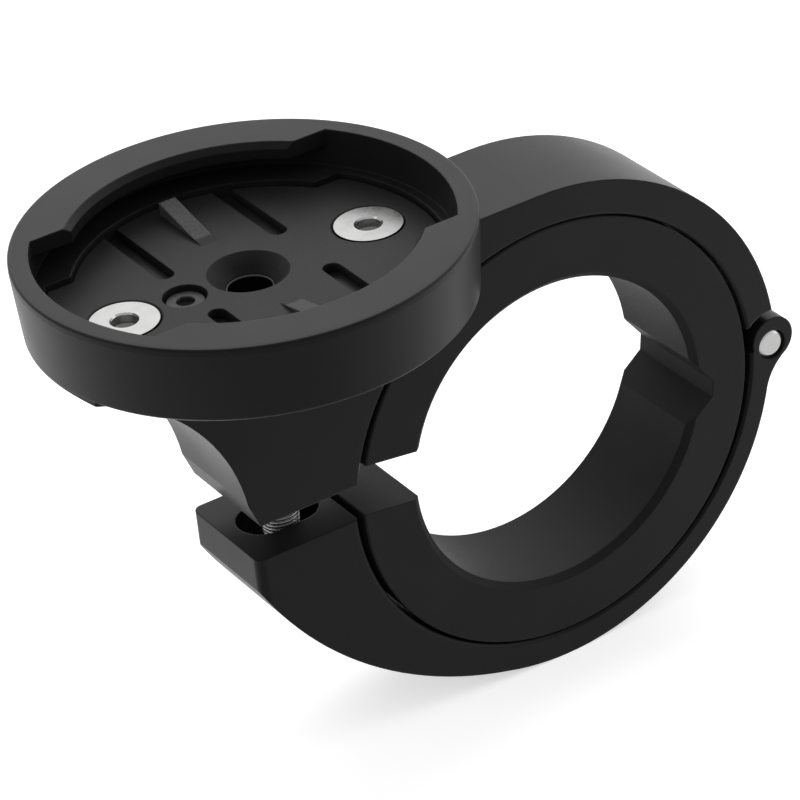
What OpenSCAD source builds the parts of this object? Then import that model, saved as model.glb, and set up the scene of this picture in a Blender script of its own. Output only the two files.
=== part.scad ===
// Handlebar mount for a bike computer: a quarter-turn cup on an arm, one moulding
// with the upper half of a hinged bar clamp. A split reducer ring lines the clamp.
// Origin: centre of the bar. Y runs along the bar, Z up through the cup, and the
// hinge is on the +X side.

/* [Bar clamp] */
// Diameter of the bar that the reducer ring takes
bar_d = 25.4; // [24:0.1:26.4]
// Wall of the upper jaw
jaw_wall = 2.9; // [2.6:0.1:4]
// Width of the jaws, the arm and the ring along the bar
clamp_w = 9.6; // [9:0.1:14]
// Bevel at the edges of the jaws' bore
bore_bevel = 0.2; // [0.1:0.05:0.6]
// How much larger the radius of each jaw's bore is, so that the jaws pinch at their middles
jaw_relief = 0.45; // [0.1:0.05:0.6]
// Extra clearance between the ring and the lower jaw
lower_gap = 0.1; // [0.05:0.05:0.3]

/* [Reducer ring] */
// Wall of the ring, which takes the jaws' bore down to the bar
ring_wall = 4.95; // [2.4:0.05:6]
// Opening of the ring at its split
ring_split = 4.1; // [2:0.1:6]
// Angle of the split above the parting of the jaws
ring_turn = 7.4; // [0:0.1:10]
// Width of the floor of the notch that lets the ring flex
notch_floor = 1.4; // [0.8:0.1:2]
// Wall of the ring that is left behind the notch
notch_wall = 3.15; // [2.4:0.05:4]
// Bevel at the edges of the ring's bore
ring_bevel = 0.5; // [0.2:0.05:1]
// Bevel at the outer edges of the ring
ring_edge = 0.1; // [0.05:0.05:0.4]
// Clearance between the ring and the upper jaw
ring_gap = 0.05; // [0.05:0.05:0.3]

/* [Hinge] */
// Diameter of the hinge pin
pin_d = 2.4; // [2:0.1:2.6]
// Outer radius of the knuckles
knuckle_r = 1.9; // [1.8:0.05:2.3]
// Offset of the outer knuckles from the pin, away from the bar
knuckle_out = 0.1; // [0:0.05:0.3]
// Offset of the outer knuckles from the pin, upwards
knuckle_lift = 0.45; // [0:0.05:0.6]
// Distance of the pin's axis inside the outside of the jaws
pin_inset = 0.35; // [0.2:0.05:0.7]
// Height of the pin's axis, below the centre of the bar
pin_drop = 0.25; // [0:0.05:0.5]
// Width of the middle knuckle
tongue_w = 4.2; // [3:0.1:5]
// Clearance on each side of the middle knuckle
tongue_gap = 0.1; // [0.05:0.05:0.3]
// Room round the outer knuckles where the upper jaw ends
knuckle_room = 0.75; // [0.6:0.05:1.4]
// Radius of the sweep from the outer knuckles into the lower jaw
knuckle_sweep = 4.5; // [2:0.1:6]
// Room between the outer knuckles' reach and the gap for the middle knuckle
tongue_room = 0.1; // [0.05:0.05:0.3]
// How much shorter the pin is than the width of the clamp
pin_short = 0.1; // [0:0.05:0.3]
// Clearance round the pin
pin_gap = 0.05; // [0.02:0.01:0.1]

/* [Arm and post] */
// Distance of the cup's axis from the outside of the jaws
cup_out = 1.6; // [0.5:0.1:5]
// Height of the foot of the post over the centre of the bar
foot_z = 3; // [2.4:0.1:4]
// Reach of the post and the ear beyond the cup's axis
foot_reach = 4.8; // [4.2:0.1:5.6]
// Radius of the hollow front of the post
post_sweep = 15.8; // [13:0.1:16.4]
// How far the post's edge draws in at its foot
foot_in = 0.65; // [0.2:0.05:1]
// Height over which it draws in
foot_in_h = 1.7; // [1:0.1:2.4]

/* [Cup] */
// Wall of the cup round its lobes, at the rim
cup_wall = 1.55; // [1.2:0.05:2.5]
// How far the cup's wall draws in towards its floor
cup_taper = 0.35; // [0:0.05:0.8]
// Height of the rim over the top of the arm
rim_up = 3.7; // [3:0.1:7]
// Height of the cup
cup_h = 5.9; // [5.6:0.1:7]
// Bevel at the rim's outer edge
rim_bevel = 0.5; // [0.2:0.05:0.8]
// Bevel at the outer edge of the cup's floor
floor_bevel = 0.15; // [0.05:0.05:0.4]
// Diameter of the mouth between the lips
mouth_d = 25.6; // [25:0.1:26.4]
// Reach of the lobes, and of the channel under the lips, beyond the mouth
lip_reach = 2.6; // [2.2:0.1:3]
// Width of the lobes
lobe_w = 17.8; // [16:0.1:19]
// Thickness of the lips
lip_t = 1.3; // [1:0.05:1.6]
// Bevel that leads into the mouth
lead_in = 0.45; // [0.2:0.05:0.7]
// Depth of the cup down to the detent plate
cup_depth = 3.5; // [3.2:0.1:3.8]
// Height of the channel's floor over the plate
ledge_h = 0.45; // [0.2:0.05:0.6]

/* [Detent plate] */
// Thickness of the plate
plate_t = 0.75; // [0.6:0.05:1]
// Clearance between the plate and the mouth that it goes in through
plate_inset = 0.1; // [0.05:0.05:0.4]
// Distance of the plate's lobes inside the ends of the cup's lobes
plate_lobe_inset = 0.9; // [0.6:0.1:1.4]
// Distance of the plate's lobes inside the sides of the cup's lobes
plate_lobe_side = 1.6; // [1.4:0.1:2.4]
// Clearance round the plate
plate_gap = 0.12; // [0.05:0.01:0.2]
// Distance of the slots from the middle line
slot_x = 4.8; // [4.2:0.1:5.2]
// Width of the slots
slot_w = 1.4; // [1:0.1:1.8]
// Start of the slots from the middle
slot_from = 3.05; // [2.6:0.05:3.6]
// Width of the ramps that hold the computer in place
ramp_w = 1.4; // [1:0.1:2]
// Height of the ramps
ramp_h = 1.2; // [0.6:0.05:1.4]
// Start of the ramps from the middle
ramp_from = 5.4; // [4:0.1:7]
// Distance of the ramps' high ends from the edge of the plate
ramp_edge = 1.3; // [0.8:0.1:2.5]
// Diameter of the key hole over the clamp screw
key_hole_d = 3.5; // [3:0.1:4]
// Diameter of the funnel that leads to the key hole
funnel_d = 6.1; // [5:0.1:6.4]
// Depth of the funnel
funnel_h = 1.3; // [1.2:0.05:1.6]
// Depth of the pockets in which the plate's springs bend
spring_room = 0.9; // [0.4:0.05:1.1]

/* [Screws] */
// Diameter of the screws
screw_d = 3; // [2.5:0.1:3.2]
// Share of a screw's radius that is under its thread
core_share = 0.8; // [0.75:0.01:0.85]
// Room under the tips of the screws in their holes
tip_room = 0.4; // [0.2:0.1:0.8]
// Clearance round a screw in its thread
thread_gap = 0.05; // [0.02:0.01:0.1]
// Diameter of a plate screw's head
plate_head_d = 5.5; // [5:0.1:6]
// Width across flats of a plate screw's socket
plate_key_af = 2; // [1.5:0.5:2.5]
// Depth of that socket
plate_key_deep = 1; // [0.8:0.1:1.2]
// Distance of the plate screws from the ends of the plate's lobes
plate_screw_edge = 4.2; // [3.4:0.1:5]
// Length of a plate screw
plate_screw_l = 4.6; // [3.6:0.1:5]
// Length of the lock screw
lock_screw_l = 5; // [3:0.1:6]
// Width across flats of the lock screw's socket
lock_key_af = 1.5; // [1.3:0.1:1.6]
// Depth of that socket
lock_key_deep = 1.2; // [0.8:0.1:1.5]
// Depth of the lock screw's top under the plate's face
lock_recess = 0.4; // [0.2:0.05:0.6]
// Diameter of the hole in the plate over the lock screw
lock_hole_d = 3.3; // [3.2:0.05:3.5]
// Length of the clamp screw under its head
clamp_screw_l = 16; // [14:0.5:17]
// Height of the seat of the clamp screw's head over the centre of the bar
seat_z = 11; // [10:0.1:12]
// Diameter of the clamp screw's head
clamp_head_d = 5.5; // [5:0.1:5.8]
// Height of the clamp screw's head
clamp_head_h = 3; // [2.4:0.1:3.2]
// Width across flats of the clamp screw's socket
key_af = 2.5; // [2:0.5:3]
// Depth of that socket
key_deep = 1.6; // [1.2:0.1:2]
// Clearance round the clamp screw's head
head_gap = 0.25; // [0.15:0.05:0.4]
// Clearance round the clamp screw in the post
post_gap = 0.25; // [0.15:0.05:0.5]

/* [Lower jaw] */
// Height of the ear's top over the centre of the bar
ear_z = 0.1; // [-0.5:0.1:1]
// Wall of the lower jaw
lower_wall = 2.95; // [2.6:0.05:4.5]
// Offset of the lower jaw's outer arc towards the ear
lower_shift = 0.55; // [0:0.05:0.8]
// Offset of that arc upwards
lower_lift = 0.68; // [0.2:0.02:0.9]
// How much larger the radius of the ear's long underside is than the jaw's
sweep_more = 11.85; // [8:0.05:18]
// Angle from the lowest point to the start of that underside
ear_from = 11.4; // [6:0.2:18]
// Radius of the ear's corners
ear_round = 0.75; // [0.6:0.05:2]
// Length of the slot in the ear
ear_slot_l = 6.6; // [5:0.1:7]
// Offset of that slot away from the bar
ear_slot_out = 0.2; // [0:0.05:0.4]
// Width of the slot in the ear
ear_slot_w = 4.2; // [3.8:0.1:4.8]
// Diameter of the barrel nut
nut_d = 5; // [4.6:0.1:5.6]
// Length of the barrel nut
nut_l = 8; // [7:0.1:8.2]
// Wall between the nut and the ear's top
nut_wall = 1.3; // [1:0.1:2]
// Clearance round the barrel nut
nut_gap = 0.05; // [0.02:0.01:0.1]
// Wall that closes the nut's bore at the front
nut_end = 1; // [0.6:0.1:1.4]
// Height over the ear from which the clamp screw is modelled as its core
core_above = 0.4; // [0.2:0.1:1]
// Radial room between the screw's core and the nut's thread
core_room = 0.45; // [0.4:0.05:0.5]

/* [Hidden] */
$fn = 96;

black = [0.15, 0.15, 0.16];
soft_black = [0.12, 0.12, 0.12];
steel = [0.8, 0.8, 0.82];

// Length that is longer than any part, for cuts that run right through
far = 100;
// Small overlap between a cut and the face that it starts at
eps = 0.01;
// Length by which a cut runs on past a face
over = 1;

ring_r = bar_d / 2 + ring_wall;
notch_depth = ring_wall - notch_wall;
jaw_r = ring_r + ring_gap;
upper_bore_r = jaw_r + jaw_relief;
lower_bore_r = upper_bore_r + lower_gap;
outer_r = jaw_r + jaw_wall;
lower_r = jaw_r + lower_wall;
ear_sweep = lower_r + sweep_more;
cup_x = outer_r + cup_out;
lobe_d = mouth_d + 2 * lip_reach;
cup_d = lobe_d + 2 * cup_wall;
cup_floor_d = cup_d - 2 * cup_taper;
rim_z = outer_r + rim_up;
plate_d = mouth_d - 2 * plate_inset;
plate_lobe_d = lobe_d - 2 * plate_lobe_inset;
plate_lobe_w = lobe_w - 2 * plate_lobe_side;
plate_screw_x = plate_lobe_d / 2 - plate_screw_edge;
lock_screw_x = (funnel_d / 2 + plate_screw_x - plate_head_d / 2) / 2;
ramp_to = plate_d / 2 - ramp_edge;
hinge = [outer_r - pin_inset, -pin_drop];
knuckle_off = [knuckle_out, knuckle_lift];
knuckle_c = hinge + knuckle_off;
knuckle_reach = knuckle_r + norm(knuckle_off);
cup_r = cup_d / 2;
cup_z = rim_z - cup_h;
plate_z = rim_z - cup_depth;
bed_z = plate_z - plate_t;
ledge_z = plate_z + ledge_h;
lip_z = rim_z - lip_t;
foot_x = -cup_x - foot_reach;
counterbore_r = clamp_head_d / 2 + head_gap;
core_r = screw_d / 2 * core_share;
lower_c = [-lower_shift, lower_lift];
tip_z = seat_z - clamp_screw_l;
nut_z = ear_z - nut_wall - nut_d / 2;
nut_y = -clamp_w / 2 + nut_end;
slot_z = nut_z + nut_d / 4;
// Depth by which the ear's long sweep dips into the round part, so that they cross
sweep_dip = 0.035;
screw_core_from = ear_z + core_above;

// Point at a distance and an angle from a centre
function polar(c, r, a) = c + r * [cos(a), sin(a)];

// One of the two points where two circles meet
function meet(c1, r1, c2, r2, side) =
    let (d = c2 - c1, l = norm(d), a = (r1 * r1 - r2 * r2 + l * l) / (2 * l),
        h = sqrt(r1 * r1 - a * a))
    c1 + a * d / l + side * h * [-d[1], d[0]] / l;

// Outline in the X-Z plane, given a width along the bar
module across(w, y = 0) {
    translate([0, y, 0]) rotate([90, 0, 0]) linear_extrude(w, center = true) children();
}

// Round bar along Y
module cross_bar(c, r, w, y = 0) {
    translate([c[0], y, c[1]]) rotate([90, 0, 0]) cylinder(h = w, r = r, center = true);
}

module disc(c, r) {
    translate(c) circle(r);
}

// Ring-shaped cut that bevels both edges of a bore along Y
module bore_edges(c, r, bevel) {
    for (side = [-1, 1])
        translate([c[0], side * clamp_w / 2, c[1]]) rotate([side * 90, 0, 0])
            translate([0, 0, -eps]) cylinder(h = bevel + eps, r1 = r + bevel + eps, r2 = r);
}

// Place of the cup's axis
module at_cup(z = 0) {
    translate([-cup_x, 0, z]) children();
}

// Round shape with a lobe on each side along X
module lobed(r, lobe_r, w) {
    circle(r);
    intersection() {
        circle(lobe_r);
        square([2 * lobe_r, w], center = true);
    }
}

// Screw head that narrows at 90 degrees
module countersunk(r, r_end) {
    cylinder(h = r - r_end, r1 = r_end, r2 = r);
}

module key_socket(af, deep) {
    translate([0, 0, -deep]) cylinder(h = deep + eps, r = af / sqrt(3), $fn = 6);
}

/* The arm, the post and the upper jaw share one outline */
module arm_outline() {
    difference() {
        union() {
            circle(outer_r);
            translate([-cup_x - cup_r, foot_z]) square([cup_x + cup_r, outer_r - foot_z]);
        }
        disc([0, -jaw_relief], upper_bore_r);
        translate([-far, foot_z - far]) square([far, far]);
        translate([0, hinge[1] - far]) square([far, far]);
        disc([foot_x - post_sweep, foot_z], post_sweep);
        polygon([[foot_x - over, foot_z - over], [foot_x + foot_in * (1 + over / foot_in_h), foot_z - over],
            [foot_x - over, foot_z + foot_in_h * (1 + over / foot_in)]]);
    }
}

module upper_jaw() {
    intersection() {
        union() {
            difference() {
                across(clamp_w) arm_outline();
                cross_bar(hinge, knuckle_reach + knuckle_room, clamp_w + over);
            }
            across(tongue_w) {
                arm_outline();
                disc(hinge, knuckle_r);
            }
        }
        union() {
            at_cup() cylinder(h = rim_z, r = cup_floor_d / 2 - floor_bevel);
            translate([-cup_x, -far / 2, -far / 2]) cube([far, far, far]);
        }
    }
}

module cup_shell() {
    at_cup() rotate_extrude()
        polygon([[0, cup_z], [cup_floor_d / 2 - floor_bevel, cup_z],
            [cup_floor_d / 2, cup_z + floor_bevel],
            [cup_r, rim_z - rim_bevel], [cup_r - rim_bevel, rim_z], [0, rim_z]]);
}

// Mouth with its lobes, the channel under the lips, and the bed of the plate
module socket_space() {
    at_cup(lip_z - eps) linear_extrude(lip_t + over) lobed(mouth_d / 2, lobe_d / 2, lobe_w);
    at_cup(rim_z - lead_in)
        cylinder(h = lead_in + eps, r1 = mouth_d / 2, r2 = mouth_d / 2 + lead_in + eps);
    at_cup(ledge_z) cylinder(h = lip_z - ledge_z, r = lobe_d / 2);
    at_cup(bed_z) linear_extrude(ledge_z - bed_z + eps)
        lobed(plate_d / 2 + plate_gap, plate_lobe_d / 2 + plate_gap, plate_lobe_w + 2 * plate_gap);
}

// Pockets under the springs of the plate
module spring_pockets() {
    at_cup(bed_z - spring_room) linear_extrude(spring_room + eps)
        for (side = [-1, 1]) translate([0, side * (slot_from + plate_d / 2) / 2])
            square([2 * slot_x - slot_w, plate_d / 2 - slot_from], center = true);
}

module upper_body() color(black) difference() {
    union() {
        upper_jaw();
        cup_shell();
    }
    socket_space();
    intersection() {
        spring_pockets();
        at_cup() cylinder(h = rim_z, r = plate_d / 2);
    }
    bore_edges([0, -jaw_relief], upper_bore_r, bore_bevel);
    cross_bar(hinge, pin_d / 2 + pin_gap, clamp_w + over);
    at_cup(seat_z) cylinder(h = rim_z - seat_z, r = counterbore_r);
    at_cup() cylinder(h = rim_z, r = screw_d / 2 + post_gap);
    for (x = [-plate_screw_x, plate_screw_x]) at_cup() {
        translate([x, 0, plate_z - plate_screw_l - tip_room])
            cylinder(h = plate_screw_l, r = screw_d / 2 + thread_gap);
        translate([x, 0, plate_z - plate_head_d / 2 + screw_d / 2])
            countersunk(plate_head_d / 2 + thread_gap, screw_d / 2 + thread_gap);
    }
    at_cup(plate_z - lock_recess - lock_screw_l - tip_room) translate([-lock_screw_x, 0, 0])
        cylinder(h = lock_screw_l + 2 * over, r = screw_d / 2 + thread_gap);
}

module detent_plate() color(soft_black) at_cup() difference() {
    union() {
        difference() {
            translate([0, 0, bed_z]) linear_extrude(plate_t)
                lobed(plate_d / 2, plate_lobe_d / 2, plate_lobe_w);
            for (sx = [-1, 1], sy = [-1, 1]) scale([sx, sy, 1])
                translate([slot_x, slot_from + slot_w / 2, bed_z - over]) {
                    cylinder(h = plate_t + 2 * over, r = slot_w / 2);
                    translate([-slot_w / 2, 0, 0]) cube([slot_w, plate_d / 2, plate_t + 2 * over]);
                }
        }
        translate([0, 0, plate_z - funnel_h])
            cylinder(h = funnel_h - eps, r = counterbore_r - plate_gap);
        for (side = [-1, 1]) scale([1, side, 1]) translate([-ramp_w / 2, 0, plate_z - eps])
            rotate([90, 0, 90]) linear_extrude(ramp_w)
                polygon([[ramp_from, 0], [ramp_to, 0], [ramp_to, ramp_h]]);
    }
    translate([0, 0, plate_z - funnel_h - over]) cylinder(h = funnel_h + 2 * over, r = key_hole_d / 2);
    translate([0, 0, plate_z - (funnel_d - key_hole_d) / 2])
        countersunk(funnel_d / 2, key_hole_d / 2);
    for (x = [-plate_screw_x, plate_screw_x]) translate([x, 0, plate_z - plate_head_d / 2 + screw_d / 2]) {
        countersunk(plate_head_d / 2 + thread_gap, screw_d / 2 + thread_gap);
        translate([0, 0, -over]) cylinder(h = 2 * over, r = screw_d / 2 + thread_gap);
    }
    translate([-lock_screw_x, 0, bed_z - over]) cylinder(h = plate_t + 2 * over, r = lock_hole_d / 2);
}

module plate_screw(x) {
    at_cup(plate_z) translate([x, 0, 0]) difference() {
        union() {
            translate([0, 0, -plate_head_d / 2 + screw_d / 2])
                countersunk(plate_head_d / 2, screw_d / 2);
            translate([0, 0, -plate_screw_l])
                cylinder(h = plate_screw_l - (plate_head_d - screw_d) / 2 + eps, r = screw_d / 2);
        }
        key_socket(plate_key_af, plate_key_deep);
    }
}

module plate_screw_front() color(steel) plate_screw(-plate_screw_x);
module plate_screw_rear() color(steel) plate_screw(plate_screw_x);

module lock_screw() color(soft_black) at_cup(plate_z - lock_recess) translate([-lock_screw_x, 0, 0])
    difference() {
        translate([0, 0, -lock_screw_l]) cylinder(h = lock_screw_l, r = screw_d / 2);
        key_socket(lock_key_af, lock_key_deep);
    }

module clamp_screw() color(steel) at_cup() difference() {
    union() {
        translate([0, 0, seat_z]) cylinder(h = clamp_head_h, r = clamp_head_d / 2);
        translate([0, 0, screw_core_from])
            cylinder(h = seat_z - screw_core_from + eps, r = screw_d / 2);
        translate([0, 0, tip_z]) cylinder(h = screw_core_from - tip_z + eps, r = core_r);
    }
    translate([0, 0, seat_z + clamp_head_h]) key_socket(key_af, key_deep);
}

/* The lower jaw: round at the bar, with one long sweep out to the ear */
module lower_outline() {
    sweep_a = 270 - ear_from;
    sweep_c = polar(lower_c, lower_r - ear_sweep - sweep_dip, sweep_a);
    blend_c = meet(lower_c, lower_r + knuckle_sweep, knuckle_c, knuckle_r + knuckle_sweep, -1);
    inward = (hinge[1] - blend_c[1]) / (lower_c[1] - blend_c[1]);
    difference() {
        union() {
            intersection() {
                disc(lower_c, lower_r);
                translate([-far / 2, hinge[1] - far]) square([far, far]);
            }
            intersection() {
                disc(sweep_c, ear_sweep);
                polygon([polar(sweep_c, far, 180), polar(sweep_c, far, sweep_a), sweep_c]);
                translate([foot_x, ear_z - far]) square([far, far]);
            }
            disc(knuckle_c, knuckle_r);
            polygon([blend_c, knuckle_c, hinge, blend_c + inward * (lower_c - blend_c)]);
        }
        disc(blend_c, knuckle_sweep + eps);
        disc([0, jaw_relief], lower_bore_r);
        translate([-far, ear_z]) square([far, far]);
    }
}

// View from above that rounds the ear's corners
module ear_plan() {
    translate([foot_x + ear_round, -clamp_w / 2]) square([far, clamp_w]);
    translate([foot_x, ear_round - clamp_w / 2]) square([far, clamp_w - 2 * ear_round]);
    for (side = [-1, 1])
        translate([foot_x + ear_round, side * (clamp_w / 2 - ear_round)]) circle(ear_round);
}

module lower_jaw() color(black) difference() {
    intersection() {
        across(clamp_w) lower_outline();
        translate([0, 0, -far / 2]) linear_extrude(far) ear_plan();
    }
    bore_edges([0, jaw_relief], lower_bore_r, bore_bevel);
    cross_bar(hinge, knuckle_reach + tongue_room, tongue_w + 2 * tongue_gap);
    cross_bar(hinge, pin_d / 2 + pin_gap, clamp_w + over);
    at_cup(slot_z) {
        for (side = [-1, 1])
            translate([side * (ear_slot_l - ear_slot_w) / 2 - ear_slot_out, 0, 0])
                cylinder(h = far, r = ear_slot_w / 2);
        translate([(ear_slot_w - ear_slot_l) / 2 - ear_slot_out, -ear_slot_w / 2, 0])
            cube([ear_slot_l - ear_slot_w, ear_slot_w, far]);
    }
    at_cup(nut_z - far) cylinder(h = far, r = screw_d / 2 + post_gap);
    cross_bar([-cup_x, nut_z], nut_d / 2 + nut_gap, clamp_w, nut_y + clamp_w / 2);
}

module barrel_nut() color(steel) difference() {
    cross_bar([-cup_x, nut_z], nut_d / 2, nut_l, nut_y + nut_gap + nut_l / 2);
    at_cup(nut_z - nut_d) cylinder(h = 2 * nut_d, r = core_r + core_room);
}

module hinge_pin() color(steel) cross_bar(hinge, pin_d / 2, clamp_w - pin_short);

// Outline of the notch, with its floor at the origin and flanks at 45 degrees
module notch_outline() {
    reach = 2 * notch_depth;
    polygon([[0, -notch_floor / 2], [0, notch_floor / 2],
        [-reach, notch_floor / 2 + reach], [-reach, -notch_floor / 2 - reach]]);
}

/* The ring that takes the clamp down to the thinner bar */
module reducer_ring() color(soft_black) difference() {
    rotate([90, 0, 0]) rotate_extrude() polygon([
        [bar_d / 2, ring_bevel - clamp_w / 2], [bar_d / 2, clamp_w / 2 - ring_bevel],
        [bar_d / 2 + ring_bevel, clamp_w / 2], [ring_r - ring_edge, clamp_w / 2],
        [ring_r, clamp_w / 2 - ring_edge], [ring_r, ring_edge - clamp_w / 2],
        [ring_r - ring_edge, -clamp_w / 2], [bar_d / 2 + ring_bevel, -clamp_w / 2]]);
    rotate([0, ring_turn, 0]) {
        translate([-far, -far / 2, -ring_split / 2]) cube([far, far, ring_split]);
        across(clamp_w + over) translate([bar_d / 2 + notch_depth, 0]) notch_outline();
    }
}

upper_body();
lower_jaw();
hinge_pin();
reducer_ring();
detent_plate();
plate_screw_front();
plate_screw_rear();
lock_screw();
clamp_screw();
barrel_nut();
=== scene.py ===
"""Looks of a handlebar mount for a bike computer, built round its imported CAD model."""

import math

import bmesh
import bpy
from mathutils import Matrix, Vector


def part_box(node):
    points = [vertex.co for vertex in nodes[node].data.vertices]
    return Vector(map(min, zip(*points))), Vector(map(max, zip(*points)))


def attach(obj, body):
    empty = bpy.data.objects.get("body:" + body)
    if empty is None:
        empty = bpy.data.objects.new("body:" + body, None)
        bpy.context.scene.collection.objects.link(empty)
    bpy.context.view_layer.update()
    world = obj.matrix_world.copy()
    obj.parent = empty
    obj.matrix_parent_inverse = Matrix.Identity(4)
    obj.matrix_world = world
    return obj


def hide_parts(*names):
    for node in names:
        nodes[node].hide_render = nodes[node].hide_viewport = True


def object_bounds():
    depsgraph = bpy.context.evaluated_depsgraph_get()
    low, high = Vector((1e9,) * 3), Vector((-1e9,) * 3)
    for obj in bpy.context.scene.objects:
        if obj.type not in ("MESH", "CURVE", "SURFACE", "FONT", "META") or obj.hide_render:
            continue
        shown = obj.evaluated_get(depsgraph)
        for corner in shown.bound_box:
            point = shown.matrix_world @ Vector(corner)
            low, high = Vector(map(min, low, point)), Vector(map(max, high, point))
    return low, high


MM = 0.001

# The photograph's camera, worked out from the circles of the clamp and of the rim
PHOTO_WIDTH = 800.0  # pixels
FOCAL_LENGTH = 3993.72  # pixels
SENSOR_WIDTH = 36.0  # mm
CAMERA_PLACE = Vector((-138.383, -222.316, 160.411)) * MM
CAMERA_RIGHT = Vector((0.834374, -0.543340, -0.092742))
CAMERA_UP = Vector((0.350214, 0.392648, 0.850398))
CAMERA_BACK = Vector((-0.425640, -0.742030, 0.517901))

# Places on the solids that their boxes don't give
CUP = Vector((-22.2, 0, 0)) * MM
PLATE_TOP = 20.8 * MM
FUNNEL_FOOT = 19.42 * MM
KEY_HOLE_EDGE = 1.74 * MM
RIM_BEVEL = 0.5 * MM

# Pieces that only the visual model has
RIM_ROUND = 0.2 * MM
RIM_AROUND = 180
BEAD_R = 0.09 * MM
AROUND = 48
THREAD_R = 1.5 * MM
THREAD_PITCH = 0.5 * MM
FINE_PITCH = 0.3 * MM  # the arcs of the clamp screw's thread in the photograph are this close
THREAD_DEPTH = 0.5  # of the pitch
RUN_OUT = 1.2  # how fast a thread rises from its root at both ends
# One turn of thread: share of the pitch, and 0 at the root to 1 at the crest
THREAD_FORM = ((0.12, 0.0), (0.36, 0.83), (0.43, 0.95), (0.52, 1.0),
               (0.61, 0.95), (0.68, 0.83), (0.92, 0.0))
POINT = 0.2 * MM  # bevel at a screw's end

# Heads of the screws in mm: distance below the top, radius
COUNTERSUNK_HEAD = ((1.25, 1.5), (0.1, 2.63), (0.0, 2.58))
LOCK_HEAD = ((0.12, 1.46), (0.0, 1.38))
CAP_HEAD = ((3.0, 2.6), (2.88, 2.75), (0.3, 2.75), (0.0, 2.45))

# Ends of the hinge pin: distance from the end in mm, share of the radius
PIN_END = ((0.02, 0.4), (0.05, 0.8), (0.18, 1.0))
PIN_FIT = 0.97

# Stage: level of the world as light, glow of the floor, and the lamps with their places,
# their widths and heights in metres and their power in watts
WORLD_LEVEL = 0.6
FLOOR_GLOW = 0.55
FLOOR_SIZE = 3.0
FLOOR_GAP = 0.02 * MM
LAMPS = (
    ("sky_light", (0.22, 0.31, 0.42), 0.7, 0.5, 1.25),
    ("left_light", (-0.42, 0.05, 0.12), 0.16, 0.4, 0.27),
    ("right_light", (0.30, -0.16, 0.16), 0.14, 0.35, 0.32),
)
LAMP_TARGET = Vector((-0.008, 0, 0.005))

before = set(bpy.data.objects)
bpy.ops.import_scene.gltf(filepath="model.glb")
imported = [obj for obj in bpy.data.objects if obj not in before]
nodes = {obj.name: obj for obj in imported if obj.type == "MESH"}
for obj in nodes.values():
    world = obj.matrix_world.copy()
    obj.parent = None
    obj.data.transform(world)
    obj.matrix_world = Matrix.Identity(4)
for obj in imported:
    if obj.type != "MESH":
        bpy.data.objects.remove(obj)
cad_lo, cad_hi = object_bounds()


def add_camera():
    """Stands where the photograph was taken from, for a square image."""
    data = bpy.data.cameras.new("camera")
    data.sensor_fit = "HORIZONTAL"
    data.sensor_width = SENSOR_WIDTH
    data.lens = FOCAL_LENGTH * SENSOR_WIDTH / PHOTO_WIDTH
    data.clip_start = 0.01
    data.clip_end = 20.0
    camera = bpy.data.objects.new("camera", data)
    turn = Matrix((CAMERA_RIGHT, CAMERA_UP, CAMERA_BACK)).transposed().to_4x4()
    camera.matrix_world = Matrix.Translation(CAMERA_PLACE) @ turn
    bpy.context.scene.collection.objects.link(camera)
    bpy.context.scene.camera = camera


def grey(level, warmth=0.0):
    return (level * (1 + warmth), level, level * (1 - warmth), 1.0)


class Nodes:
    """A node tree that is built in short lines. A value is a number, a colour or a socket."""

    def __init__(self, tree):
        self.tree = tree
        tree.nodes.clear()

    def add(self, kind, **props):
        made = self.tree.nodes.new(kind)
        for key, value in props.items():
            setattr(made, key, value)
        return made

    def feed(self, socket, value):
        if isinstance(value, bpy.types.NodeSocket):
            self.tree.links.new(value, socket)
        else:
            socket.default_value = value

    def math(self, operation, a, b=0.0):
        n = self.add("ShaderNodeMath", operation=operation)
        self.feed(n.inputs[0], a)
        self.feed(n.inputs[1], b)
        return n.outputs[0]

    def seen(self):
        """1 for rays that show a backdrop: from the camera, mirrored or through glass."""
        rays = self.add("ShaderNodeLightPath").outputs
        seen = self.math("MAXIMUM", rays["Is Camera Ray"], rays["Is Glossy Ray"])
        return self.math("MAXIMUM", seen, rays["Is Transmission Ray"])


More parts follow.
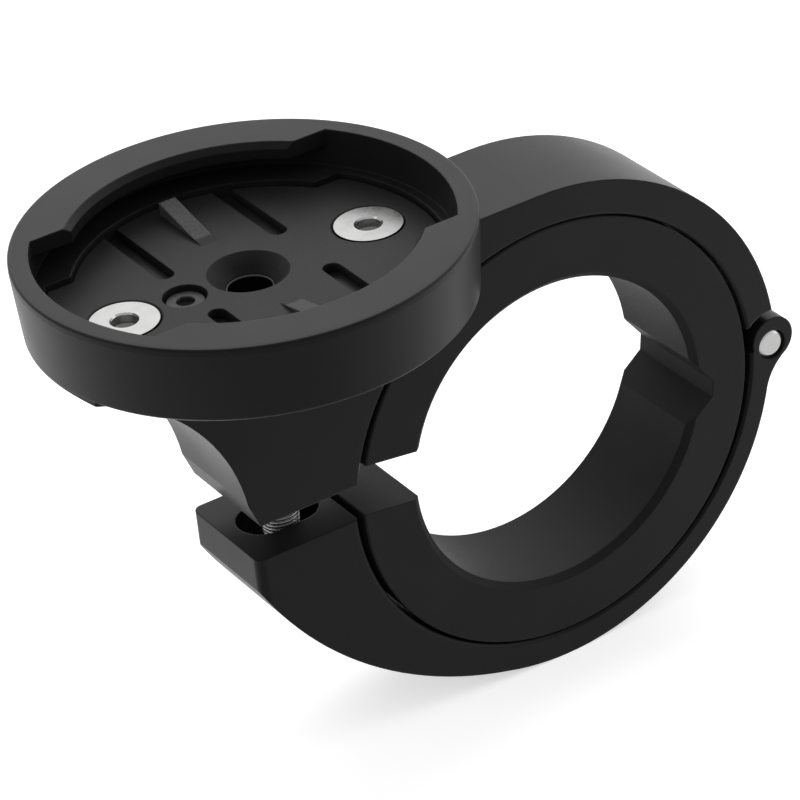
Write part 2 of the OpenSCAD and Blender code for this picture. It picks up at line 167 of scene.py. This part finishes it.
class Shader(Nodes):
    """A material in object coordinates."""

    def __init__(self, name):
        self.material = bpy.data.materials.new(name)
        self.material.use_nodes = True
        super().__init__(self.material.node_tree)
        self.output = self.add("ShaderNodeOutputMaterial").inputs["Surface"]
        self.coords = self.add("ShaderNodeTexCoord").outputs["Object"]

    def shifted(self, operation, by):
        """Coordinates with a vector added to them or taken from them."""
        n = self.add("ShaderNodeVectorMath", operation=operation)
        self.feed(n.inputs[0], self.coords)
        n.inputs[1].default_value = by
        return n.outputs[0]

    def xyz(self, vector):
        n = self.add("ShaderNodeSeparateXYZ")
        self.feed(n.inputs[0], vector)
        return n.outputs

    def reach(self, centre, axis="Z"):
        """Distance from the line through the centre along the axis."""
        x, y, z = self.xyz(self.shifted("SUBTRACT", centre))
        a, b = {"X": (y, z), "Y": (x, z), "Z": (x, y)}[axis]
        squares = self.math("ADD", self.math("MULTIPLY", a, a), self.math("MULTIPLY", b, b))
        return self.math("SQRT", squares)

    def noise(self, scale, detail, rough, at):
        n = self.add("ShaderNodeTexNoise")
        self.feed(n.inputs["Vector"], at)
        n.inputs["Scale"].default_value = scale
        n.inputs["Detail"].default_value = detail
        n.inputs["Roughness"].default_value = rough
        return n.outputs["Fac"]

    def span(self, value, source, target=(0.0, 1.0), smooth=False):
        """Value moved from the source range to the target range, and held inside it."""
        kind = "SMOOTHSTEP" if smooth else "LINEAR"
        n = self.add("ShaderNodeMapRange", interpolation_type=kind)
        self.feed(n.inputs["Value"], value)
        n.inputs["From Min"].default_value, n.inputs["From Max"].default_value = source
        n.inputs["To Min"].default_value, n.inputs["To Max"].default_value = target
        return n.outputs["Result"]

    def blend(self, share, a, b):
        n = self.add("ShaderNodeMix", data_type="RGBA")
        self.feed(n.inputs["Factor"], share)
        self.feed(n.inputs["A"], a)
        self.feed(n.inputs["B"], b)
        return n.outputs["Result"]

    def rounded(self, radius):
        """Normal that softens the sharp edges."""
        n = self.add("ShaderNodeBevel", samples=6)
        self.feed(n.inputs["Radius"], radius)
        return n.outputs["Normal"]

    def bump(self, height, distance, strength, normal=None):
        n = self.add("ShaderNodeBump")
        self.feed(n.inputs["Height"], height)
        n.inputs["Distance"].default_value = distance
        n.inputs["Strength"].default_value = strength
        if normal is not None:
            self.feed(n.inputs["Normal"], normal)
        return n.outputs["Normal"]

    def surface(self, **sockets):
        n = self.add("ShaderNodeBsdfPrincipled")
        for key, value in sockets.items():
            self.feed(n.inputs[key.replace("_", " ")], value)
        self.feed(self.output, n.outputs[0])
        return self.material


def satin_black(name, tone, rough, shift=(0.0, 0.0, 0.0), plain_edge=None):
    """Bead-blasted metal with a black anodised skin, whose sharp edges look rounded.

    plain_edge gives a centre, a distance from the upright line through it, and a height. Edges
    beyond the one and above the other look as they are, because a piece lies on them.
    """
    s = Shader(name)
    at = s.shifted("ADD", shift)
    fine = s.noise(9000.0, 3.0, 0.6, at)
    cloud = s.noise(140.0, 3.0, 0.55, at)
    colour = s.blend(s.span(cloud, (0.3, 0.7)), grey(tone * 0.88), grey(tone * 1.12))
    colour = s.blend(s.span(fine, (0.35, 0.65), (0.0, 0.35)), colour, grey(tone * 1.6))
    roughness = s.math("ADD", s.span(cloud, (0.25, 0.75), (rough - 0.03, rough + 0.03)),
                       s.span(fine, (0.3, 0.7), (-0.03, 0.03)))
    rounding = 0.18 * MM
    if plain_edge is not None:
        centre, reach, height = plain_edge
        plain = s.math("MULTIPLY", s.math("GREATER_THAN", s.reach(centre), reach),
                       s.math("GREATER_THAN", s.xyz(s.coords)[2], height))
        rounding = s.math("MULTIPLY", s.math("SUBTRACT", 1.0, plain), rounding)
    return s.surface(Base_Color=colour, Roughness=roughness,
                     Normal=s.bump(fine, 0.006 * MM, 0.6, s.rounded(rounding)),
                     Specular_IOR_Level=0.35, Specular_Tint=grey(0.12))


def moulded_black(name, tone, rough, shift=(0.0, 0.0, 0.0), top=None):
    """Glass-filled plastic with a fine spark-eroded grain.

    Where its top face is given, what rises above it is stippled and painted lighter as painted
    light, and what lies below it is painted darker as painted shade.
    """
    s = Shader(name)
    at = s.shifted("ADD", shift)
    grain = s.noise(5200.0, 4.0, 0.62, at)
    flow = s.noise(210.0, 2.0, 0.5, at)
    colour = s.blend(s.span(flow, (0.3, 0.7)), grey(tone * 0.85), grey(tone * 1.15))
    colour = s.blend(s.span(grain, (0.42, 0.68), (0.0, 0.4)), colour, grey(tone * 1.9))
    relief = grain
    if top is not None:
        height = s.xyz(s.coords)[2]
        # Below the top face the colour is painted darker, as painted shade in the slots and
        # recesses.
        sunk = s.span(height, (top - 0.8 * MM, top - 0.1 * MM), (0.7, 0.0))
        colour = s.blend(sunk, colour, grey(tone * 0.2))
        # The ramps' stipple is relief of the surface; their colour, lifted towards five times the
        # tone, is painted light.
        on_ramp = s.span(height, (top + 0.15 * MM, top + 0.2 * MM))
        dots = s.add("ShaderNodeTexVoronoi")
        s.feed(dots.inputs["Vector"], s.coords)
        dots.inputs["Scale"].default_value = 5200.0
        pits = s.span(dots.outputs["Distance"], (0.15, 0.5), smooth=True)
        stipple_and_painted_light = s.math("ADD", s.math("MULTIPLY", pits, 0.6), 0.4)
        colour = s.blend(s.math("MULTIPLY", on_ramp, stipple_and_painted_light), colour, grey(tone * 5.0))
        relief = s.math("ADD", grain, s.math("MULTIPLY", on_ramp, pits))
    return s.surface(Base_Color=colour,
                     Roughness=s.span(grain, (0.3, 0.7), (rough - 0.05, rough + 0.06)),
                     Normal=s.bump(relief, 0.012 * MM, 0.55, s.rounded(0.15 * MM)),
                     Specular_Tint=grey(0.1))


def turned_steel(name, node, axis="Z", tone=0.42, rough=0.27, painted_shade_within=None, painted_shade_beyond=None):
    """Bright steel with fine turning marks round the axis of its node.

    It is painted dark nearer to the axis than painted_shade_within, as painted shade in the roots
    of a thread, and further from it than painted_shade_beyond, as a painted shadow in the gap
    round a head.
    """
    lo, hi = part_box(node)
    s = Shader(name)
    reach = s.reach((lo + hi) / 2, axis)
    rings = s.add("ShaderNodeCombineXYZ")
    s.feed(rings.inputs[0], reach)
    marks = s.noise(16000.0, 4.0, 0.7, rings.outputs[0])
    smudge = s.noise(900.0, 3.0, 0.6, s.coords)
    colour = s.blend(s.span(marks, (0.3, 0.7)), grey(tone * 0.94, 0.008), grey(tone * 1.05, 0.004))
    colour = s.blend(s.span(smudge, (0.45, 0.75), (0.0, 0.25)), colour, grey(tone * 0.82, 0.01))
    # The thread's roots are painted dark, a painted shade in the crease.
    if painted_shade_within is not None:
        root = s.span(reach, (painted_shade_within, painted_shade_within + 0.07 * MM), (1.0, 0.0))
        colour = s.blend(root, colour, grey(0.015))
    # The head's outer edge is painted near black, a painted shadow in the gap round the head.
    if painted_shade_beyond is not None:
        gap = s.span(reach, (painted_shade_beyond, painted_shade_beyond + 0.03 * MM))
        colour = s.blend(gap, colour, grey(0.004))
    roughness = s.math("ADD", s.span(marks, (0.3, 0.7), (rough - 0.05, rough + 0.05)),
                       s.span(smudge, (0.3, 0.7), (-0.03, 0.05)))
    return s.surface(Base_Color=colour, Metallic=1.0, Roughness=roughness,
                     Normal=s.bump(marks, 0.002 * MM, 0.7))


def black_oxide(name):
    """Steel with a thin, mottled black skin."""
    s = Shader(name)
    mottle = s.noise(2600.0, 4.0, 0.6, s.coords)
    return s.surface(Base_Color=s.blend(s.span(mottle, (0.35, 0.7)), grey(0.012), grey(0.03)),
                     Roughness=s.span(mottle, (0.3, 0.7), (0.34, 0.46)),
                     Normal=s.bump(mottle, 0.004 * MM, 0.5), Specular_Tint=grey(0.25))


def new_object(name, bm, material, smooth_angle=35.0):
    """Object of a finished mesh, smooth where its faces meet at less than the angle."""
    bm.normal_update()
    for edge in bm.edges:
        flat = edge.calc_face_angle(0.0) < math.radians(smooth_angle)
        edge.smooth = len(edge.link_faces) == 2 and flat
    for face in bm.faces:
        face.smooth = True
    mesh = bpy.data.meshes.new(name)
    bm.to_mesh(mesh)
    bm.free()
    mesh.materials.append(material)
    obj = bpy.data.objects.new(name, mesh)
    bpy.context.scene.collection.objects.link(obj)
    return obj


def ring_point(bm, axis, z, radius, angle):
    spot = Vector((radius * math.cos(angle), radius * math.sin(angle), z))
    return bm.verts.new(axis + spot)


def revolve(bm, axis, profile, count=AROUND, closed=False):
    """Skin round an upright axis, through a profile of (height, radius) that goes up outside.

    A radius is a number or a function of the angle. Returns the rings of points.
    """
    rings = []
    for z, radius in profile:
        ring = []
        for k in range(count):
            angle = 2 * math.pi * k / count
            r = radius(angle) if callable(radius) else radius
            ring.append(ring_point(bm, axis, z, r, angle))
        rings.append(ring)
    for low, high in zip(rings, rings[1:] + (rings[:1] if closed else [])):
        for k in range(count):
            n = (k + 1) % count
            bm.faces.new((low[k], low[n], high[n], high[k]))
    return rings


def cap(bm, ring, axis, z, up):
    """Fan of faces that closes a ring, with its tip on the axis."""
    tip = bm.verts.new(axis + Vector((0, 0, z)))
    for a, b in zip(ring, ring[1:] + ring[:1]):
        bm.faces.new((a, b, tip) if up else (b, a, tip))


def add_thread(bm, axis, low, high, pitch):
    """Right-hand thread between two heights, where it runs out into its root."""
    depth = THREAD_DEPTH * pitch
    rows = []
    for turn in range(-1, math.ceil((high - low) / pitch) + 1):
        for share, crest in THREAD_FORM:
            row = []
            for k in range(AROUND):
                z = low + pitch * (turn + share + k / AROUND)
                z = min(max(z, low), high)
                rise = min(crest * depth, depth, RUN_OUT * (z - low), RUN_OUT * (high - z))
                angle = 2 * math.pi * k / AROUND
                row.append(ring_point(bm, axis, z, THREAD_R - depth + rise, angle))
            rows.append(row)
    one_turn = len(THREAD_FORM)
    for i in range(len(rows) - 1 - one_turn):
        # A row ends where the row of the next turn begins
        low_row = rows[i] + [rows[i + one_turn][0]]
        high_row = rows[i + 1] + [rows[i + 1 + one_turn][0]]
        for k in range(AROUND):
            bm.faces.new((low_row[k], low_row[k + 1], high_row[k + 1], high_row[k]))
    return THREAD_R - depth


def key_socket(flats):
    """Radius of a hexagon by angle, with its corners cut round."""
    def radius(angle):
        off_flat = (angle + math.pi / 6) % (math.pi / 3) - math.pi / 6
        return min(flats / 2 / math.cos(off_flat), flats / 2 * 1.04)
    return radius


def upright(node):
    """Point at height 0 under the middle of a node, and the node's lowest and highest z."""
    lo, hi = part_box(node)
    return Vector(((lo.x + hi.x) / 2, (lo.y + hi.y) / 2, 0)), lo.z, hi.z


def add_screw(name, node, body, material, head, flats, depth, lead, pitch=THREAD_PITCH):
    """Screw with a thread and a hexagon socket, in place of a plain one.

    The socket has its width over flats, its depth and the width of its lead-in bevel.
    """
    axis, low, top = upright(node)
    neck = top - head[0][0] * MM
    bm = bmesh.new()
    root = add_thread(bm, axis, low + POINT, neck, pitch)
    tip = revolve(bm, axis, [(low, root - POINT), (low + POINT, root)])
    cap(bm, tip[0], axis, low, False)
    profile = [(neck, root)]
    profile += [(top - below * MM, r * MM) for below, r in head]
    profile.append((top, flats / 2 * 1.05 + lead))
    profile += [(top - below, key_socket(flats)) for below in (1.6 * lead, depth)]
    rings = revolve(bm, axis, profile)
    drill_point = 0.15 * flats
    cap(bm, rings[-1], axis, top - depth - drill_point, True)
    bmesh.ops.remove_doubles(bm, verts=bm.verts, dist=1e-7)
    obj = new_object(name, bm, material, 32.0)
    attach(obj, body)
    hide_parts(node)


def add_pin(material):
    """Hinge pin with bevelled, slightly domed ends, made upright and laid down."""
    lo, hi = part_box("hinge_pin")
    radius, length = PIN_FIT * (hi.z - lo.z) / 2, hi.y - lo.y
    axis = Vector((0, 0, 0))
    profile = [(inset * MM, radius * share) for inset, share in PIN_END]
    profile += [(length - inset * MM, radius * share) for inset, share in reversed(PIN_END)]
    bm = bmesh.new()
    rings = revolve(bm, axis, profile)
    cap(bm, rings[0], axis, 0.0, False)
    cap(bm, rings[-1], axis, length, True)
    turn = Matrix.Rotation(math.radians(90), 4, "X")
    place = Matrix.Translation(Vector(((lo.x + hi.x) / 2, hi.y, (lo.z + hi.z) / 2)))
    bmesh.ops.transform(bm, matrix=place @ turn, verts=bm.verts)
    obj = new_object("hinge_pin_bevelled", bm, material, 25.0)
    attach(obj, "jaw")
    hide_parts("hinge_pin")


def add_rim_edge(material, radius, top):
    """Small round on the cup's rim. It fills the plain bevel of the solid."""
    sunk, steps = 0.06 * MM, 6
    profile = [(top - sunk, radius - RIM_BEVEL - sunk), (top - RIM_BEVEL - sunk, radius - sunk),
               (top - RIM_BEVEL, radius)]
    for i in range(steps + 1):
        a = math.pi / 2 * i / steps
        profile.append((top - RIM_ROUND + RIM_ROUND * math.sin(a),
                        radius - RIM_ROUND + RIM_ROUND * math.cos(a)))
    profile.append((top, radius - RIM_BEVEL))
    bm = bmesh.new()
    revolve(bm, CUP, profile, RIM_AROUND, closed=True)
    obj = new_object("rim_edge", bm, material)
    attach(obj, "mount_body")


def add_funnel_bead(material):
    """Thin bead round the key hole, at the foot of the plate's funnel."""
    axis = upright("clamp_screw")[0]
    sides = 10
    profile = []
    for i in range(sides):
        a = 2 * math.pi * i / sides
        profile.append((FUNNEL_FOOT + BEAD_R * math.sin(a), KEY_HOLE_EDGE + BEAD_R * math.cos(a)))
    bm = bmesh.new()
    revolve(bm, axis, profile, closed=True)
    obj = new_object("funnel_bead", bm, material, 60.0)
    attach(obj, "mount_body")


def add_world():
    """White where it is seen, and duller as light."""
    world = bpy.data.worlds.new("world")
    bpy.context.scene.world = world
    world.use_nodes = True
    w = Nodes(world.node_tree)
    mix = w.add("ShaderNodeMixShader")
    w.feed(mix.inputs["Fac"], w.seen())
    for socket, level in ((1, WORLD_LEVEL), (2, 1.0)):
        sky = w.add("ShaderNodeBackground")
        sky.inputs["Color"].default_value = grey(1.0)
        sky.inputs["Strength"].default_value = level
        w.feed(mix.inputs[socket], sky.outputs[0])
    w.feed(w.add("ShaderNodeOutputWorld").inputs["Surface"], mix.outputs[0])


def add_floor():
    """Matt white floor. It glows where it is seen, so that only the shadow shows on it."""
    s = Shader("floor")
    matt = s.add("ShaderNodeBsdfDiffuse")
    matt.inputs["Color"].default_value = grey(0.8)
    glow = s.add("ShaderNodeEmission")
    s.feed(glow.inputs["Strength"], s.math("MULTIPLY", s.seen(), FLOOR_GLOW))
    both = s.add("ShaderNodeAddShader")
    s.feed(both.inputs[0], matt.outputs[0])
    s.feed(both.inputs[1], glow.outputs[0])
    s.feed(s.output, both.outputs[0])
    bm = bmesh.new()
    bmesh.ops.create_grid(bm, x_segments=1, y_segments=1, size=FLOOR_SIZE)
    floor = new_object("floor", bm, s.material)
    floor.location = (0, 0, cad_lo.z - FLOOR_GAP)


def add_lamp(name, place, width, height, power):
    data = bpy.data.lights.new(name, "AREA")
    data.shape = "RECTANGLE"
    data.size = width
    data.size_y = height
    data.energy = power
    lamp = bpy.data.objects.new(name, data)
    lamp.location = place
    aim = LAMP_TARGET - Vector(place)
    lamp.rotation_euler = aim.to_track_quat("-Z", "Y").to_euler()
    bpy.context.scene.collection.objects.link(lamp)


add_camera()

# The rim's round lies a hair inside the solid's radius, so that it stays in its box
rim_r = CUP.x - cad_lo.x - 0.01 * MM
body = satin_black("body_black", 0.0085, 0.38,
                   plain_edge=(CUP, rim_r - 0.8 * MM, cad_hi.z - 0.6 * MM))
looks = {
    "upper_body": body,
    "lower_jaw": satin_black("jaw_black", 0.007, 0.4, (0.31, 0.217, 0.093)),
    "reducer_ring": moulded_black("ring_black", 0.0095, 0.6),
    "detent_plate": moulded_black("plate_black", 0.0125, 0.5, (0.5, 0.3, 0.1), PLATE_TOP),
    "barrel_nut": turned_steel("nut_steel", "barrel_nut", "Y"),
}
for node, material in looks.items():
    nodes[node].data.materials.clear()
    nodes[node].data.materials.append(material)

for place in ("front", "rear"):
    node = f"plate_screw_{place}"
    steel = turned_steel(f"{place}_screw_steel", node, tone=0.35, painted_shade_beyond=2.55 * MM)
    add_screw(f"{node}_threaded", node, "mount_body", steel, COUNTERSUNK_HEAD,
              flats=1.9 * MM, depth=0.8 * MM, lead=0.08 * MM)
add_screw("lock_screw_threaded", "lock_screw", "mount_body",
          black_oxide("lock_screw_black"), LOCK_HEAD,
          flats=1.25 * MM, depth=0.45 * MM, lead=0.05 * MM)
add_screw("clamp_screw_threaded", "clamp_screw", "screw",
          turned_steel("clamp_screw_steel", "clamp_screw", rough=0.25, painted_shade_within=1.34 * MM),
          CAP_HEAD, flats=2.5 * MM, depth=1.6 * MM, lead=0.12 * MM, pitch=FINE_PITCH)
add_pin(turned_steel("pin_steel", "hinge_pin", "Y", rough=0.3))
add_rim_edge(body, rim_r, cad_hi.z)
# The bead's tone is about four times the plate's, a painted highlight round the key hole.
add_funnel_bead(moulded_black("bead_painted_highlight", 0.05, 0.4, (0.8, 0.48, 0.16)))

add_world()
add_floor()
for lamp in LAMPS:
    add_lamp(*lamp)
bpy.context.scene.view_settings.view_transform = "Standard"
